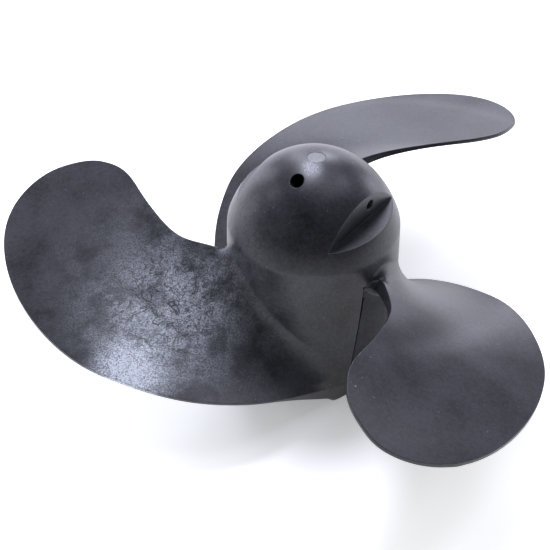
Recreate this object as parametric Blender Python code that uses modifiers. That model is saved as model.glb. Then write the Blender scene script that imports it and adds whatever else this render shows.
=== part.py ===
"""Three-bladed left-hand boat propeller, moulded in one piece: a domed hub, cored out from its fore end
round a shaft boss, and three broad raked blades. Metres, +Z aft along the shaft axis."""

import math

import bmesh
import bpy
from mathutils import Matrix, Vector

MM = 0.001

# Hub, turned about the shaft axis: heights are from the dome's base, in mm
HUB_RADIUS = 25.8
DOME_HEIGHT = 22.5
DOME_CENTRE_DEPTH = 11.0  # the dome is the top of an ellipsoid centred this far below its base
HUB_FORE = -50.0  # the fore face, which the propeller lies on
HUB_DRAFT = 0.4  # the hub is this much wider at its fore end than under the dome
CUT_MARGIN = 5.0  # how far a cutter runs past the face it comes out of
HUB_STEPS = 72
DOME_STEPS = 10

# Relief below the blades, where the fore half of the mould closed on the hub
RELIEF_TOP = -7.5  # at the parting line, where the trailing corner's flare comes down to it
RELIEF_TOP_DEPTH = 0.9
RELIEF_FORE_DEPTH = 1.8
RELIEF_CUTTER_THICKNESS = 4.0
PARTING_AZIMUTH_TOP = 184.3
PARTING_AZIMUTH_FORE = 172.5
PARTING_BEND = 1.5  # the parting line leans more and more towards the fore rim
RELIEF_END_AZIMUTH = 290.0  # under the blade's foot, short of the next parting line
RELIEF_STEPS = (24, 8)  # round the hub and along it

# Core, shaft bore and drive
SHELL_INNER_RADIUS = 20.6
BOSS_RADIUS = 11.5
BOSS_FORE = -48.0
CORE_TOP = 1.0
CORE_DRAFT = 0.5
RIB_COUNT = 6
FIRST_RIB_AZIMUTH = 30.0
RIB_THICKNESS = 3.6
RIB_FORE = -45.0
SHAFT_BORE_RADIUS = 6.2
SHAFT_BORE_STEPS = 32
SHAFT_BORE_END = 17.0  # the blind end, closed by the dome
BORE_END_CHAMFER = 1.0
DRIVE_SLOT_WIDTH = 5.2
DRIVE_SLOT_DEPTH = 7.0
DRIVE_SLOT_OVERRUN = 1.0  # how far the slot's cutter runs past the boss at each end
BOSS_FACE_STEPS = 48

# Notches on two sides of the dome: azimuth, distance of the upright wall from the axis, floor
NOTCHES = ((323.6, 16.6, 6.7), (143.6, 17.6, 7.7))
NOTCH_CUTTER = (20.0, 60.0, 30.0)  # deep, wide and high enough to come out of the dome

# Pin hole, from the near notch into the shaft bore
PIN_AZIMUTH = 339.0
PIN_HEIGHT = 11.5
PIN_HOLE_RADIUS = 1.55
PIN_HOLE_STEPS = 20

# Vent from the dome into the shaft bore, and the flat left by the moulding gate
VENT_POINT = (-5.4, -6.9, 20.7)
VENT_AZIMUTH = 248.0
VENT_ELEVATION = 40.0
VENT_RADIUS = 2.1
VENT_STEPS = 24
VENT_REACH = 9.0  # the cutter's length each way from the point where the vent opens
GATE_AZIMUTH = 84.0
GATE_OFFSET = 2.3
GATE_RADIUS = 2.7
GATE_STEPS = 32
GATE_DEPTH = 0.25

# Blades: azimuths in degrees, the rest in mm
BLADE_COUNT = 3
TIP_AZIMUTH = 174.8
TIP_RADIUS = 94.0
ROOT_RADIUS = 25.0
EDGE_THICKNESS = 1.2
EDGE_BULGE = 0.2
LEADING_ROOT_THICKNESS = 3.8  # the leading edge ends at the hub in an upright face, this thick
LEADING_ROOT_REACH = 17.0  # mm from the hub over which the leading edge thickens
TRAILING_ROOT_THICKNESS = 3.4
TRAILING_ROOT_REACH = 28.0
FACE_FILLET = 6.2  # blade face to hub, on the aft side
BACK_FILLET = 5.0
LEADING_FILLET = 4.0  # round the leading end
TRAILING_FILLET_SHARE = 0.5  # the aft fillet narrows to this share towards the trailing edge
CORNER_BEGIN = 0.86  # chord share from which the fillet turns round the end of the section

# Trailing corner, where the blade's edge curls down along the hub to the parting line
TRAILING_DROOP = 3.5
DROOP_REACH = 14.0  # mm from the hub over which the edge droops
DROOP_BEGIN = 0.5  # chord share from which it droops, and from which the fillet grows to its full size
TRAILING_FILLET = 5.0

# Directions in which the fillet spreads at the ends of a section, in degrees from the leading end
FACE_DIRECTION = 90.0
BACK_DIRECTION = -90.0
LEADING_FACE_DIRECTION = 60.0
LEADING_BACK_DIRECTION = -60.0
TRAILING_FACE_DIRECTION = 235.0
TRAILING_BACK_DIRECTION = -85.0
ROOT_SINK_RADIUS = 23.2  # the blade's foot ends here, inside the hub's wall
FOOT_ANGLES = (14, 30, 45, 60, 75)  # places of the rings round the foot's quarter-round, in degrees
CHORD_STEPS = 16
SPAN_STEPS = 20
TIP_SHARE = 0.98  # the last section, a few mm wide, is the tip's own small edge

# radius, sweep back from the tip's azimuth, half chord angle before rounding the tip, height of the
# mid-chord, pitch, greatest thickness
BLADE_TABLE = (
    (25.0, 73.2, 44.5, -25.1, 171.0, 7.0),
    (31.0, 59.5, 41.3, -23.1, 161.0, 6.4),
    (40.0, 46.7, 38.9, -20.9, 148.0, 5.4),
    (50.0, 33.1, 40.6, -17.8, 138.5, 4.5),
    (60.0, 22.3, 42.8, -14.7, 134.0, 3.7),
    (70.0, 14.3, 41.9, -13.5, 133.0, 3.0),
    (80.0, 8.4, 40.2, -13.6, 135.5, 2.4),
    (88.0, 3.1, 37.0, -13.7, 139.5, 1.8),
    (94.0, 0.0, 33.0, -13.5, 144.0, 1.4),
)


def remove_scene_objects():
    for item in list(bpy.data.objects):
        bpy.data.objects.remove(item, do_unlink=True)


def new_collection(name):
    collection = bpy.data.collections.new(name)
    bpy.context.scene.collection.children.link(collection)
    return collection


def object_from_bmesh(name, bm, collection, parent):
    """A mesh object in mm coordinates, scaled to metres in its own mesh."""
    bmesh.ops.scale(bm, vec=(MM, MM, MM), verts=bm.verts)
    bmesh.ops.recalc_face_normals(bm, faces=bm.faces)
    mesh = bpy.data.meshes.new(name)
    bm.to_mesh(mesh)
    bm.free()
    item = bpy.data.objects.new(name, mesh)
    collection.objects.link(item)
    item.parent = parent
    return item


def as_guide(item):
    item.hide_render = True
    item.display_type = "WIRE"
    return item


def turned(name, profile, steps, collection, parent):
    """A solid of revolution: the profile, outer side top to bottom at +X, turned by a Screw modifier."""
    mesh = bpy.data.meshes.new(name)
    points = [(x * MM, 0.0, z * MM) for x, z in profile]
    edges = [(i, i + 1) for i in range(len(points) - 1)]
    mesh.from_pydata(points, edges, [])
    item = bpy.data.objects.new(name, mesh)
    collection.objects.link(item)
    item.parent = parent
    screw = item.modifiers.new("Turn", "SCREW")
    screw.axis = "Z"
    screw.steps = steps
    screw.render_steps = steps
    screw.use_merge_vertices = True
    screw.merge_threshold = 0.00001
    screw.use_smooth_shade = True
    return item


def cylinder(name, radius, start, direction, length, segments, collection, parent):
    """A cylinder from the point start, along direction."""
    bm = bmesh.new()
    bmesh.ops.create_cone(
        bm, cap_ends=True, segments=segments, radius1=radius, radius2=radius, depth=length
    )
    bmesh.ops.translate(bm, vec=(0.0, 0.0, length / 2), verts=bm.verts)
    turn = Vector(direction).to_track_quat("Z", "Y").to_matrix().to_4x4()
    bmesh.ops.transform(bm, matrix=Matrix.Translation(start) @ turn, verts=bm.verts)
    return as_guide(object_from_bmesh(name, bm, collection, parent))


def box(name, size, centre, azimuth, collection, parent):
    """A box whose own X axis points to the azimuth."""
    bm = bmesh.new()
    bmesh.ops.create_cube(bm, size=1.0)
    bmesh.ops.scale(bm, vec=size, verts=bm.verts)
    bmesh.ops.translate(bm, vec=centre, verts=bm.verts)
    turn = Matrix.Rotation(math.radians(azimuth), 3, "Z")
    bmesh.ops.rotate(bm, cent=(0.0, 0.0, 0.0), matrix=turn, verts=bm.verts)
    return as_guide(object_from_bmesh(name, bm, collection, parent))


def combine(item, operation, tool):
    boolean = item.modifiers.new(f"{operation.title()} {tool.name}", "BOOLEAN")
    boolean.operation = operation
    boolean.object = tool


def polar(radius, azimuth, z):
    angle = math.radians(azimuth)
    return Vector((radius * math.cos(angle), radius * math.sin(angle), z))


def smooth_step(x):
    x = min(1.0, max(0.0, x))
    return x * x * (3.0 - 2.0 * x)


def slopes(xs, ys):
    """Slope of a smooth curve through the points, at each point."""
    steps = [(ys[i + 1] - ys[i]) / (xs[i + 1] - xs[i]) for i in range(len(xs) - 1)]
    inner = []
    for i in range(1, len(xs) - 1):
        before, after = xs[i] - xs[i - 1], xs[i + 1] - xs[i]
        inner.append((steps[i - 1] * after + steps[i] * before) / (before + after))
    return [2 * steps[0] - inner[0], *inner, 2 * steps[-1] - inner[-1]]


def blade_value(column, radius):
    """One column of the blade table at any radius, on a smooth curve through the stations."""
    xs = [row[0] for row in BLADE_TABLE]
    ys = [row[column] for row in BLADE_TABLE]
    tangents = slopes(xs, ys)
    i = max(0, min(len(xs) - 2, sum(1 for x in xs[1:-1] if radius > x)))
    step = xs[i + 1] - xs[i]
    t = (radius - xs[i]) / step
    if t < 0.0:
        return ys[0] + tangents[0] * (radius - xs[0])
    return (
        (1 + 2 * t) * (1 - t) ** 2 * ys[i]
        + t * (1 - t) ** 2 * step * tangents[i]
        + t * t * (3 - 2 * t) * ys[i + 1]
        + t * t * (t - 1) * step * tangents[i + 1]
    )


def fillet_rise(distance, fillet):
    """How far a quarter-round fillet stands off the blade, at a distance from the hub's surface."""
    if distance >= fillet:
        return 0.0
    inside = fillet - max(0.0, distance)
    return fillet - math.sqrt(fillet * fillet - inside * inside)


def span_radii():
    """Radii of the blade's sections, from the foot inside the hub out to the tip."""
    radii = [ROOT_SINK_RADIUS]
    for angle in FOOT_ANGLES:
        radii.append(HUB_RADIUS + FACE_FILLET * (1.0 - math.cos(math.radians(angle))))
    first = radii[-1]
    begin = math.asin((first - ROOT_RADIUS) / (TIP_RADIUS - ROOT_RADIUS)) / (math.pi / 2)
    for i in range(1, SPAN_STEPS + 1):
        share = begin + (TIP_SHARE - begin) * i / SPAN_STEPS
        radii.append(ROOT_RADIUS + (TIP_RADIUS - ROOT_RADIUS) * math.sin(math.pi / 2 * share))
    return radii


def section_loop():
    """One turn round a section, as chord share and side.

    The chord share runs from -1 at the trailing edge to 1 at the leading edge. The side is 1 on the
    aft face, -1 on the fore back and 0 at the middle of an edge."""
    loop = []
    for side in (1, -1):
        for i in range(CHORD_STEPS + 1):
            loop.append((-math.cos(math.pi * i / CHORD_STEPS) * side, side))
        loop.append((float(side), 0))
    return loop


def mix(a, b, share):
    return a + (b - a) * share


def fillet_at(chord, side):
    """Size of the fillet at a place round the section, and the direction it spreads in, in degrees."""
    corner = smooth_step((abs(chord) - CORNER_BEGIN) / (1.0 - CORNER_BEGIN))
    face_size = FACE_FILLET * mix(TRAILING_FILLET_SHARE, 1.0, smooth_step((chord + 1.0) / 2))
    if chord > 0.0:
        face = (
            mix(face_size, LEADING_FILLET, corner),
            mix(FACE_DIRECTION, LEADING_FACE_DIRECTION, corner),
        )
        back = (
            mix(BACK_FILLET, LEADING_FILLET, corner),
            mix(BACK_DIRECTION, LEADING_BACK_DIRECTION, corner),
        )
        middle = (LEADING_FILLET, 0.0)
    else:
        face = (
            mix(face_size, TRAILING_FILLET, smooth_step((-chord - DROOP_BEGIN) / (1.0 - DROOP_BEGIN))),
            mix(FACE_DIRECTION, TRAILING_FACE_DIRECTION, corner),
        )
        back = (BACK_FILLET, mix(BACK_DIRECTION, TRAILING_BACK_DIRECTION, corner))
        middle = (
            mix(TRAILING_FILLET, BACK_FILLET, 0.5),
            mix(TRAILING_FACE_DIRECTION, TRAILING_BACK_DIRECTION + 360.0, 0.5),
        )
    return {1: face, -1: back, 0: middle}[side]


def blade_point(radius, chord, side, blade):
    """A point of a blade's surface, on a pitched line across the mid-chord of its section."""
    outward = max(0.0, (radius - ROOT_RADIUS) / (TIP_RADIUS - ROOT_RADIUS))
    half_angle = blade_value(2, radius) * math.sqrt(1.0 - outward**2)
    pitch = blade_value(4, radius)
    slope = math.atan2(pitch, 2 * math.pi * radius)
    distance = radius - HUB_RADIUS

    # Near the hub both edges thicken forward
    leading_extra, trailing_extra = 0.0, 0.0
    if chord > 0.0:
        near_hub = 1.0 - smooth_step(distance / LEADING_ROOT_REACH)
        leading_extra = (LEADING_ROOT_THICKNESS - EDGE_THICKNESS) * near_hub
    else:
        near_hub = 1.0 - smooth_step(distance / TRAILING_ROOT_REACH)
        trailing_extra = (TRAILING_ROOT_THICKNESS - EDGE_THICKNESS) * near_hub
    edge = EDGE_THICKNESS + leading_extra + trailing_extra
    thickness = edge + (blade_value(5, radius) - edge) * (1.0 - chord * chord)
    height = EDGE_THICKNESS / 2
    if side < 0:
        height -= thickness
    elif side == 0:
        height -= edge / 2

    size, direction = fillet_at(chord, side)
    rise = fillet_rise(distance, size)
    height += rise * math.sin(math.radians(direction))
    reach = rise * math.cos(math.radians(direction))
    droop_share = max(0.0, 1.0 - max(0.0, distance) / DROOP_REACH) ** 2
    height -= TRAILING_DROOP * droop_share * smooth_step((-chord - DROOP_BEGIN) / (1.0 - DROOP_BEGIN))
    if side == 0:
        reach += chord * EDGE_BULGE
    if side <= 0:
        # Brings the foot of the thick leading edge straight below its top
        reach += leading_extra * chord * chord * math.tan(slope) * (0.5 if side == 0 else 1.0)

    # The aft side leans towards growing azimuth, because the blade drops that way
    tangential = reach * math.cos(slope) + height * math.sin(slope)
    turn = half_angle * chord + math.degrees(tangential / radius)
    z = blade_value(3, radius) - pitch * half_angle * chord / 360.0
    z += height * math.cos(slope) - reach * math.sin(slope)
    azimuth = TIP_AZIMUTH + 360.0 / BLADE_COUNT * blade + blade_value(1, radius) + turn
    return polar(radius, azimuth, z)


def blade_solid(blade, collection, parent):
    """A tube with one ring of vertices per section, bent into the blade's shape."""
    loop = section_loop()
    radii = span_radii()
    bm = bmesh.new()
    bmesh.ops.create_cone(
        bm, cap_ends=True, segments=len(loop), radius1=1.0, radius2=1.0, depth=1.0
    )
    lengthwise = [e for e in bm.edges if abs(e.verts[0].co.z - e.verts[1].co.z) > 0.5]
    bmesh.ops.subdivide_edges(bm, edges=lengthwise, cuts=len(radii) - 2, use_grid_fill=True)
    for vertex in bm.verts:
        turn = math.atan2(vertex.co.y, vertex.co.x) / (2 * math.pi)
        place = round(turn * len(loop)) % len(loop)
        ring = round((vertex.co.z + 0.5) * (len(radii) - 1))
        vertex.co = blade_point(radii[ring], *loop[place], blade)
    return as_guide(object_from_bmesh(f"blade_{blade + 1}", bm, collection, parent))


def relief_cutter(blade, collection, parent):
    """Takes the hub back below one blade, from the parting line round to where the blade's foot ends."""
    below = HUB_FORE - 2 * CUT_MARGIN
    bm = bmesh.new()
    bmesh.ops.create_grid(bm, x_segments=RELIEF_STEPS[0], y_segments=RELIEF_STEPS[1], size=0.5)
    root = blade_value(2, HUB_RADIUS)
    trailing = TIP_AZIMUTH + blade_value(1, HUB_RADIUS) - root
    lean = PARTING_AZIMUTH_FORE - PARTING_AZIMUTH_TOP
    for vertex in bm.verts:
        across, down = vertex.co.x + 0.5, 0.5 - vertex.co.y
        azimuth = PARTING_AZIMUTH_TOP + (RELIEF_END_AZIMUTH - PARTING_AZIMUTH_TOP) * across
        drop = max(0.0, azimuth - trailing) / (2 * root)
        top = RELIEF_TOP + (HUB_FORE - RELIEF_TOP) * drop
        z = top + (below - top) * down
        depth_share = (RELIEF_TOP - z) / (RELIEF_TOP - HUB_FORE)
        azimuth += lean * max(0.0, depth_share) ** PARTING_BEND * (1.0 - across)
        depth = RELIEF_TOP_DEPTH + (RELIEF_FORE_DEPTH - RELIEF_TOP_DEPTH) * depth_share
        vertex.co = polar(HUB_RADIUS - depth, azimuth + 360.0 / BLADE_COUNT * blade, z)
    item = as_guide(object_from_bmesh(f"relief_{blade + 1}", bm, collection, parent))
    thick = item.modifiers.new("Thickness", "SOLIDIFY")
    thick.thickness = RELIEF_CUTTER_THICKNESS * MM
    thick.offset = 1.0
    return item


def dome_ellipsoid():
    """Half height and half width of the ellipsoid whose top is the dome."""
    half_height = DOME_HEIGHT + DOME_CENTRE_DEPTH
    half_width = HUB_RADIUS / math.sqrt(1.0 - (DOME_CENTRE_DEPTH / half_height) ** 2)
    return half_height, half_width


def hub_profile():
    half_height, half_width = dome_ellipsoid()
    rim = math.asin(DOME_CENTRE_DEPTH / half_height)
    profile = [(0.0, DOME_HEIGHT)]
    for i in range(1, DOME_STEPS + 1):
        angle = math.pi / 2 + (rim - math.pi / 2) * i / DOME_STEPS
        profile.append((half_width * math.cos(angle), half_height * math.sin(angle) - DOME_CENTRE_DEPTH))
    below = HUB_FORE - CUT_MARGIN
    profile.append((HUB_RADIUS + HUB_DRAFT, below))
    profile.append((0.0, below))
    return profile


def core_cutter(collection, parent):
    """The ring-shaped hollow between the shell and the boss, left solid at the ribs."""
    below = HUB_FORE - 2 * CUT_MARGIN
    profile = [
        (BOSS_RADIUS + CORE_DRAFT, CORE_TOP),
        (SHELL_INNER_RADIUS - CORE_DRAFT, CORE_TOP),
        (SHELL_INNER_RADIUS, below),
        (BOSS_RADIUS, below),
        (BOSS_RADIUS + CORE_DRAFT, CORE_TOP),
    ]
    core = as_guide(turned("core", profile, HUB_STEPS, collection, parent))
    height = CORE_TOP + CUT_MARGIN - RIB_FORE
    size = (2 * (SHELL_INNER_RADIUS + CUT_MARGIN), RIB_THICKNESS, height)
    centre = (0.0, 0.0, RIB_FORE + height / 2)
    for i in range(RIB_COUNT // 2):
        azimuth = FIRST_RIB_AZIMUTH + 360.0 * i / RIB_COUNT
        combine(core, "DIFFERENCE", box(f"rib_{i + 1}", size, centre, azimuth, collection, parent))
    return core


def bore_cutter(collection, parent):
    below = HUB_FORE - 2 * CUT_MARGIN
    profile = [
        (0.0, SHAFT_BORE_END),
        (SHAFT_BORE_RADIUS - BORE_END_CHAMFER, SHAFT_BORE_END),
        (SHAFT_BORE_RADIUS, SHAFT_BORE_END - BORE_END_CHAMFER),
        (SHAFT_BORE_RADIUS, below),
        (0.0, below),
    ]
    return as_guide(turned("shaft_bore", profile, SHAFT_BORE_STEPS, collection, parent))


def notch_cutter(azimuth, wall, floor, name, collection, parent):
    centre = (wall + NOTCH_CUTTER[0] / 2, 0.0, floor + NOTCH_CUTTER[2] / 2)
    return box(name, NOTCH_CUTTER, centre, azimuth, collection, parent)


def gate_cutter(collection, parent):
    """A flat just under the dome's top."""
    half_height, half_width = dome_ellipsoid()
    share = GATE_OFFSET / half_width
    z = half_height * math.sqrt(1.0 - share**2)
    centre = polar(GATE_OFFSET, GATE_AZIMUTH, z - DOME_CENTRE_DEPTH)
    normal = polar(share / half_width, GATE_AZIMUTH, z / half_height**2).normalized()
    start = centre - normal * GATE_DEPTH
    return cylinder("gate_flat", GATE_RADIUS, start, normal, CUT_MARGIN, GATE_STEPS, collection, parent)


def vent_cutter(collection, parent):
    level = math.cos(math.radians(VENT_ELEVATION))
    direction = polar(level, VENT_AZIMUTH, math.sin(math.radians(VENT_ELEVATION)))
    start = Vector(VENT_POINT) - direction * VENT_REACH
    length = 2 * VENT_REACH
    return cylinder("vent", VENT_RADIUS, start, direction, length, VENT_STEPS, collection, parent)


def pin_cutter(collection, parent):
    direction = polar(1.0, PIN_AZIMUTH, 0.0)
    start = (0.0, 0.0, PIN_HEIGHT)
    length = 2 * HUB_RADIUS
    return cylinder("pin_hole", PIN_HOLE_RADIUS, start, direction, length, PIN_HOLE_STEPS, collection, parent)


def fore_trim_cutter(collection, parent):
    """Everything forward of the fore face."""
    width, height = 4 * TIP_RADIUS, 4 * CUT_MARGIN
    centre = (0.0, 0.0, HUB_FORE - height / 2)
    return box("fore_trim", (width, width, height), centre, 0.0, collection, parent)


def boss_face_cutter(collection, parent):
    """Sets the boss and the slot's lips back from the fore face."""
    middle = (BOSS_RADIUS + SHELL_INNER_RADIUS) / 2
    start, forward = (0.0, 0.0, BOSS_FORE), (0.0, 0.0, -1.0)
    length = 2 * CUT_MARGIN
    return cylinder("boss_face", middle, start, forward, length, BOSS_FACE_STEPS, collection, parent)


def drive_slot_cutter(collection, parent):
    length = 2 * (BOSS_RADIUS + CORE_DRAFT + DRIVE_SLOT_OVERRUN)
    height = DRIVE_SLOT_DEPTH + CUT_MARGIN
    centre = (0.0, 0.0, BOSS_FORE + DRIVE_SLOT_DEPTH - height / 2)
    return box("drive_slot", (length, DRIVE_SLOT_WIDTH, height), centre, 0.0, collection, parent)


def plastic():
    material = bpy.data.materials.new("charcoal glass-filled plastic")
    material.use_nodes = True
    shader = material.node_tree.nodes["Principled BSDF"]
    shader.inputs["Base Color"].default_value = (0.035, 0.036, 0.041, 1.0)
    shader.inputs["Roughness"].default_value = 0.42
    shader.inputs["Metallic"].default_value = 0.0
    return material


def build():
    remove_scene_objects()
    parts = new_collection("boat_propeller")
    tools = new_collection("cutters")
    axis = bpy.data.objects.new("shaft_axis", None)
    parts.objects.link(axis)
    axis.location.z = -SHAFT_BORE_END * MM

    propeller = turned("propeller", hub_profile(), HUB_STEPS, parts, axis)
    propeller.data.materials.append(plastic())

    for blade in range(BLADE_COUNT):
        combine(propeller, "DIFFERENCE", relief_cutter(blade, tools, axis))
    for blade in range(BLADE_COUNT):
        combine(propeller, "UNION", blade_solid(blade, tools, axis))

    # The hub is made too long, so that one cut leaves it and the blades' feet flush
    combine(propeller, "DIFFERENCE", fore_trim_cutter(tools, axis))
    combine(propeller, "DIFFERENCE", core_cutter(tools, axis))
    combine(propeller, "DIFFERENCE", boss_face_cutter(tools, axis))
    combine(propeller, "DIFFERENCE", bore_cutter(tools, axis))
    combine(propeller, "DIFFERENCE", drive_slot_cutter(tools, axis))

    for i, notch in enumerate(NOTCHES):
        combine(propeller, "DIFFERENCE", notch_cutter(*notch, f"notch_{i + 1}", tools, axis))
    combine(propeller, "DIFFERENCE", pin_cutter(tools, axis))
    combine(propeller, "DIFFERENCE", vent_cutter(tools, axis))
    combine(propeller, "DIFFERENCE", gate_cutter(tools, axis))


build()
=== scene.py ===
# %% [markdown]
# # A boat propeller, moulded in one piece
#
# This lesson dresses a small left-hand propeller for a 2 to 4 hp outboard. The real one is a single
# moulding in charcoal glass-filled nylon: a hub closed by a dome at its aft end, and three broad
# blades that grow out of it over soft fillets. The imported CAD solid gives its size. It could be shown
# as it is, but its facets would break up the long sheen that makes such a surface believable, so the
# same shapes are made again here from the same sizes, much finer.

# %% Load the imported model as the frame
import math

import bmesh
import bpy
from mathutils import Matrix, Vector


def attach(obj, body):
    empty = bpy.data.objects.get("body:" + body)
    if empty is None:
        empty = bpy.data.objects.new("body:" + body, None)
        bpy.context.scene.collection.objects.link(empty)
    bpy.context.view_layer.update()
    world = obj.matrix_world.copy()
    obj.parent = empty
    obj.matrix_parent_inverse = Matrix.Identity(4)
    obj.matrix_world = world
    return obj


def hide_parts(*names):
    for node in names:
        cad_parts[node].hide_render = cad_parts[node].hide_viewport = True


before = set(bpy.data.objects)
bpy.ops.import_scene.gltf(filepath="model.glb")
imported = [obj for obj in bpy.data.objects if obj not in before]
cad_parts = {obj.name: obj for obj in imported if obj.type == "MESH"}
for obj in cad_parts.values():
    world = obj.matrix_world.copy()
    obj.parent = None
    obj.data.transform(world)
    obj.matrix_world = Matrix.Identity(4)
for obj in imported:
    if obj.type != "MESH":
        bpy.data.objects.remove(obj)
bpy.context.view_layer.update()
print("CAD nodes:", sorted(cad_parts))

# %% [markdown]
# The hub and the blades are drawn in millimetres, with heights measured from the ring where the dome
# meets the hub's wall. The row's own origin is the blind end of the shaft bore, 17 mm higher, so each
# finished mesh is scaled to metres and lowered by that much once. Working in the hub's own measure
# keeps the numbers readable, and the object itself stays at the origin, unturned and unscaled.

# %% Units, and a bmesh made into a piece
MM = 0.001
SHAFT_BORE_END = 17.0
HUB_RADIUS = 25.8
HUB_FORE = -50.0
HUB_DRAFT = 0.4
CUT_MARGIN = 5.0
WELD_DISTANCE = 0.002
SMOOTH_ANGLE = math.radians(42)


def to_row_frame(bm):
    bmesh.ops.translate(bm, vec=(0.0, 0.0, -SHAFT_BORE_END), verts=bm.verts)
    bmesh.ops.scale(bm, vec=(MM, MM, MM), verts=bm.verts)


def piece_from(bm, name):
    to_row_frame(bm)
    mesh = bpy.data.meshes.new(name)
    bm.to_mesh(mesh)
    bm.free()
    mesh.shade_smooth()
    mesh.set_sharp_from_angle(angle=SMOOTH_ANGLE)
    piece = bpy.data.objects.new(name, mesh)
    bpy.context.scene.collection.objects.link(piece)
    return piece


def polar(radius, azimuth, z):
    angle = math.radians(azimuth)
    return Vector((radius * math.cos(angle), radius * math.sin(angle), z))


def smooth_step(x):
    x = min(1.0, max(0.0, x))
    return x * x * (3.0 - 2.0 * x)


print("a point on the fore rim, mm:", polar(HUB_RADIUS, 270.0, HUB_FORE)[:])

# %% [markdown]
# The hub is round, so half of its outline is spun about the shaft axis. The dome is the top of an
# ellipsoid and meets the wall at a slight angle, which shows on the real moulding as a soft line. A
# small round between the two keeps that line soft, and close rings keep the reflection in it smooth.
# The dome is 0.03 mm lower than in the CAD solid, so that the finer mesh stays inside the solid's box.

# %% The hub's outline, and a solid of revolution
DOME_HEIGHT = 22.47
DOME_CENTRE_DEPTH = 11.0
DOME_STEPS = 48
RIM_ROUND = 0.9
RIM_STEPS = 6
WALL_TOP = -2.0
WALL_STEPS = 40
LIP_ROUND = 0.4
LIP_STEPS = 4
LIP_CLEARANCE = 0.5
ROUND_STEPS = 256


def dome_ellipsoid():
    half_height = DOME_HEIGHT + DOME_CENTRE_DEPTH
    half_width = HUB_RADIUS / math.sqrt(1.0 - (DOME_CENTRE_DEPTH / half_height) ** 2)
    return half_height, half_width


def dome_outline(steps):
    """Points from the dome's top down to its base, as radius and height."""
    half_height, half_width = dome_ellipsoid()
    rim = math.asin(DOME_CENTRE_DEPTH / half_height)
    points = [(0.0, DOME_HEIGHT)]
    for i in range(1, steps + 1):
        angle = math.pi / 2 + (rim - math.pi / 2) * i / steps
        points.append((half_width * math.cos(angle), half_height * math.sin(angle) - DOME_CENTRE_DEPTH))
    return points


def wall_radius(z):
    """The hub's outside radius under the dome, a little wider towards the fore end."""
    return HUB_RADIUS + HUB_DRAFT * max(0.0, -z) / (CUT_MARGIN - HUB_FORE)


def spun(outline, steps):
    """A closed solid from an outline that begins and ends on the axis, or that is a closed loop."""
    bm = bmesh.new()
    corners = [bm.verts.new((radius, 0.0, z)) for radius, z in outline]
    edges = [bm.edges.new(pair) for pair in zip(corners, corners[1:])]
    if outline[0][0] > 0.0:
        edges.append(bm.edges.new((corners[-1], corners[0])))
    bmesh.ops.spin(
        bm, geom=corners + edges, cent=(0, 0, 0), axis=(0, 0, 1), angle=2 * math.pi, steps=steps,
        use_merge=True,
    )
    bmesh.ops.remove_doubles(bm, verts=bm.verts, dist=0.0001)
    bmesh.ops.recalc_face_normals(bm, faces=bm.faces)
    return bm


def rounded_corner(before, corner, after, size, steps):
    """Points of a small curve that replaces a corner of an outline."""
    start = Vector(corner) + (Vector(before) - Vector(corner)).normalized() * size
    end = Vector(corner) + (Vector(after) - Vector(corner)).normalized() * size
    curve = []
    for i in range(steps + 1):
        t = i / steps
        point = start * (1 - t) ** 2 + Vector(corner) * 2 * t * (1 - t) + end * t * t
        curve.append(tuple(point))
    return curve


dome = dome_outline(DOME_STEPS)
rim, below_rim = dome[-1], (wall_radius(WALL_TOP), WALL_TOP)
outline = dome[:-2] + rounded_corner(dome[-2], rim, below_rim, RIM_ROUND, RIM_STEPS)
for i in range(WALL_STEPS):
    z = WALL_TOP + (HUB_FORE + LIP_CLEARANCE - WALL_TOP) * i / WALL_STEPS
    outline.append((wall_radius(z), z))
lip = (wall_radius(HUB_FORE), HUB_FORE)
above_lip, inside_lip = (lip[0], HUB_FORE + 1.0), (lip[0] - 1.0, HUB_FORE)
outline += rounded_corner(above_lip, lip, inside_lip, LIP_ROUND, LIP_STEPS)
outline.append((0.0, HUB_FORE))
hub_bm = spun(outline, ROUND_STEPS)
print("hub of revolution:", len(hub_bm.faces), "faces")
hub = piece_from(hub_bm, "hub")

# %% [markdown]
# Everything else on the hub is cut into it, as the mould's cores and pins leave it: the hollow between
# the shell and the shaft boss with six ribs across it, the shaft bore, the slot for the drive pin, two
# notches in the dome with the split-pin hole between them, a vent, and the flat where the gate was.
# Boolean cutters say this most directly. They are applied one after another and then deleted, so the
# hub ends as one plain mesh. The first cutter is the core that makes the hollow: a turned ring, from
# which three long plates through the axis are cut first, so that they stay standing as the six ribs.

# %% Cutters, and the core of the hollow
def cylinder(radius, start, direction, length, segments):
    bm = bmesh.new()
    bmesh.ops.create_cone(
        bm, cap_ends=True, segments=segments, radius1=radius, radius2=radius, depth=length
    )
    bmesh.ops.translate(bm, vec=(0.0, 0.0, length / 2), verts=bm.verts)
    turn = Vector(direction).to_track_quat("Z", "Y").to_matrix().to_4x4()
    bmesh.ops.transform(bm, matrix=Matrix.Translation(start) @ turn, verts=bm.verts)
    return piece_from(bm, "cylinder_cutter")


def box(size, centre, azimuth):
    bm = bmesh.new()
    bmesh.ops.create_cube(bm, size=1.0)
    bmesh.ops.scale(bm, vec=size, verts=bm.verts)
    bmesh.ops.translate(bm, vec=centre, verts=bm.verts)
    turn = Matrix.Rotation(math.radians(azimuth), 3, "Z")
    bmesh.ops.rotate(bm, cent=(0.0, 0.0, 0.0), matrix=turn, verts=bm.verts)
    return piece_from(bm, "box_cutter")


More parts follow.
